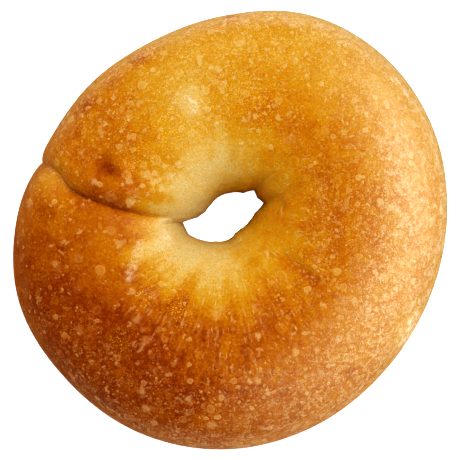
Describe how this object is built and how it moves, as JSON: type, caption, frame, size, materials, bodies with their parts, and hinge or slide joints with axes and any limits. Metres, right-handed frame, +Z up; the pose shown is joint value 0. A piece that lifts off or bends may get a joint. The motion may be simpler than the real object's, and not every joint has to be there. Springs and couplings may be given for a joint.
{
  "type": "bagel",
  "caption": "Plain baked bagel: a plump ring of bread with a small folded hole, a slanting lapped seam on one side, a browned blistered crust and a flat base.",
  "frame": {"origin": "middle of the ring's outline in plan, at the height of the flat base", "axes": "+Z up out of the crown; +X to the side across from the seam; +Y towards the golden side of the ring, so the seam runs out to -X"},
  "size_m": [0.1088, 0.11, 0.0399],
  "materials": {
    "crust": "baked bread crust with a satin skin: golden orange with darker brown areas, pale cream round the hole, finely blistered"
  },
  "bodies": {
    "root": {"bagel": "crust"}
  },
  "joints": []
}
